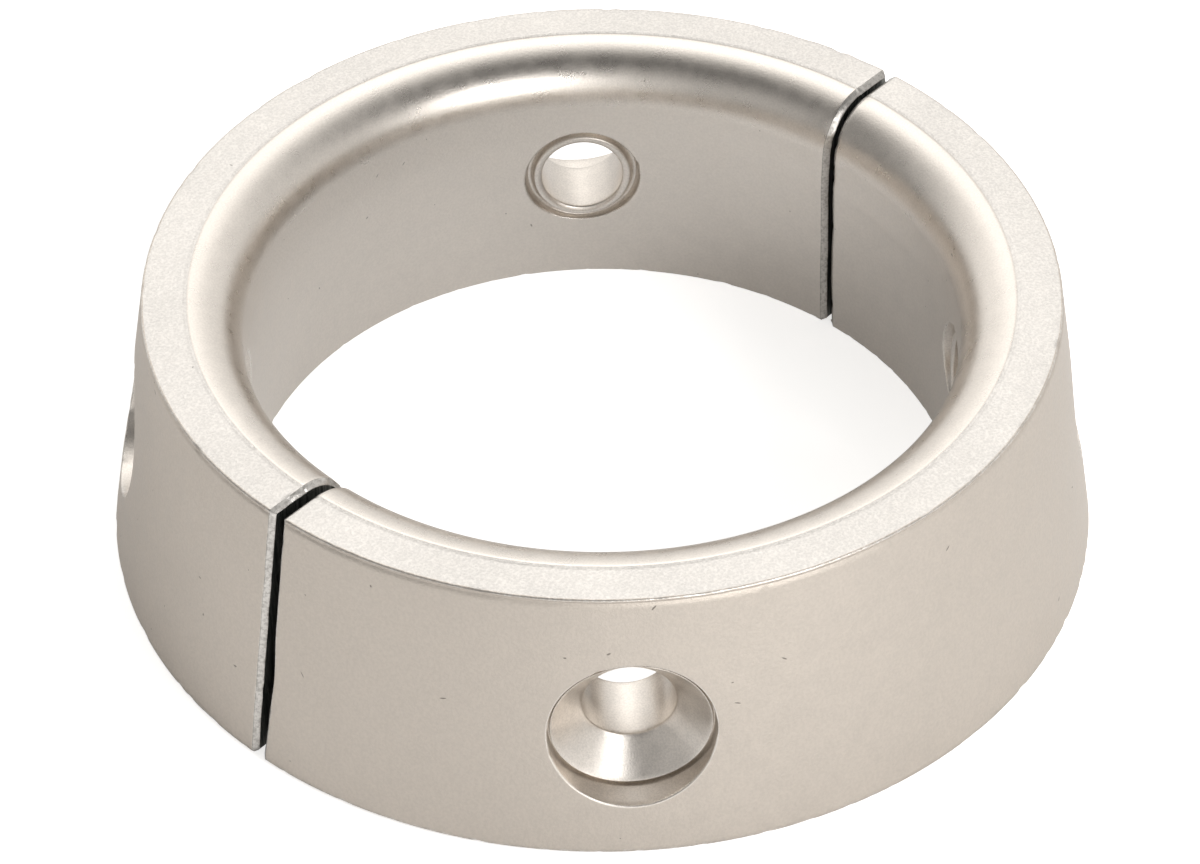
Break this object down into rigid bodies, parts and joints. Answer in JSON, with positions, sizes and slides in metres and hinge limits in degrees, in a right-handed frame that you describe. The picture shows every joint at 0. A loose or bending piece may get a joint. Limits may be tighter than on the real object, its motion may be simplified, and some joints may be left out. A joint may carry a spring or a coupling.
{
  "type": "split collar sacrificial anode",
  "caption": "Split tapered-ring sacrificial anode in two halves, with a bell-mouthed bore and countersunk radial screw holes.",
  "frame": {"origin": "centre of the bore on the base plane, the big end of the ring", "axes": "+Z along the bore towards the small end, the halves meet across the plane Y = 0"},
  "size_m": [0.1198, 0.1198, 0.0346],
  "materials": {
    "cast_zinc": "bare satin cast zinc alloy, fine grain, brighter on the flat small end"
  },
  "bodies": {
    "root": {"front_half_collar": "cast_zinc", "rear_half_collar": "cast_zinc"}
  },
  "joints": []
}
